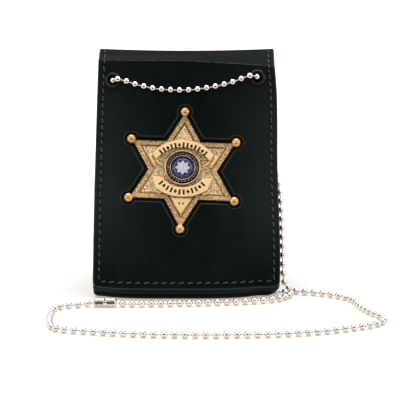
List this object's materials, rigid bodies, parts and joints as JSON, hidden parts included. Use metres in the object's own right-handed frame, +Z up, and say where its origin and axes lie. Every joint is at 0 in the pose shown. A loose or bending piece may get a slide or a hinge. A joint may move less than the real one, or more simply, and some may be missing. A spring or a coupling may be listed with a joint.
{
  "type": "badge holder with neck chain",
  "caption": "Black leather folding badge holder standing like a tent, with a gold six-point star badge let into its front leaf and a nickel ball chain through two eyelets.",
  "frame": {"origin": "Floor, under the middle of the standing holder's footprint; the neck chain on the floor is not counted.", "axes": "+Z up, +X to the right seen from the front, +Y to the back."},
  "size_m": [0.1504, 0.1516, 0.1152],
  "materials": {
    "black_leather": "smooth, semi-gloss, burnished edges",
    "spine_leather": "smooth, worn satin",
    "black_metal": "black enamelled",
    "gold": "struck, stippled",
    "polished_gold": "polished",
    "navy_enamel": "glossy enamel",
    "blue_enamel": "glossy enamel",
    "white_enamel": "glossy enamel",
    "nickel": "nickel plated",
    "pin_steel": "drawn wire, plated",
    "clear_vinyl": "clear flexible sheet"
  },
  "bodies": {
    "front_leaf": {"front_cover": "black_leather", "badge_backing": "black_leather", "front_lining": "black_leather", "eyelet_left": "black_metal", "eyelet_right": "black_metal", "eyelet_washer_left": "black_metal", "eyelet_washer_right": "black_metal", "badge_star": "gold", "upper_banner": "polished_gold", "lower_banner": "polished_gold", "point_panel": "polished_gold", "seal_rim": "gold", "seal_ring": "navy_enamel", "seal_disc": "blue_enamel", "seal_rosette": "white_enamel", "pin_joint": "pin_steel", "pin_stem": "pin_steel", "pin_catch": "pin_steel", "chain_swag": "nickel", "chain_left_strand": "nickel", "chain_right_strand": "nickel", "chain_connector": "nickel"},
    "spine": {"spine_cover": "spine_leather", "spine_lining": "spine_leather"},
    "rear_leaf": {"rear_cover": "black_leather", "id_frame": "black_leather", "id_window": "clear_vinyl"}
  },
  "joints": [
    {"name": "front_fold", "type": "hinge", "parent": "front_leaf", "child": "spine", "pos_m": [0, 0.0068, 0.10965], "axis": [-1, 0, 0], "range_deg": [-47, 21.7]},
    {"name": "rear_fold", "type": "hinge", "parent": "spine", "child": "rear_leaf", "pos_m": [0, 0.02179, 0.11525], "axis": [-1, 0, 0], "range_deg": [-103.2, 0]}
  ]
}
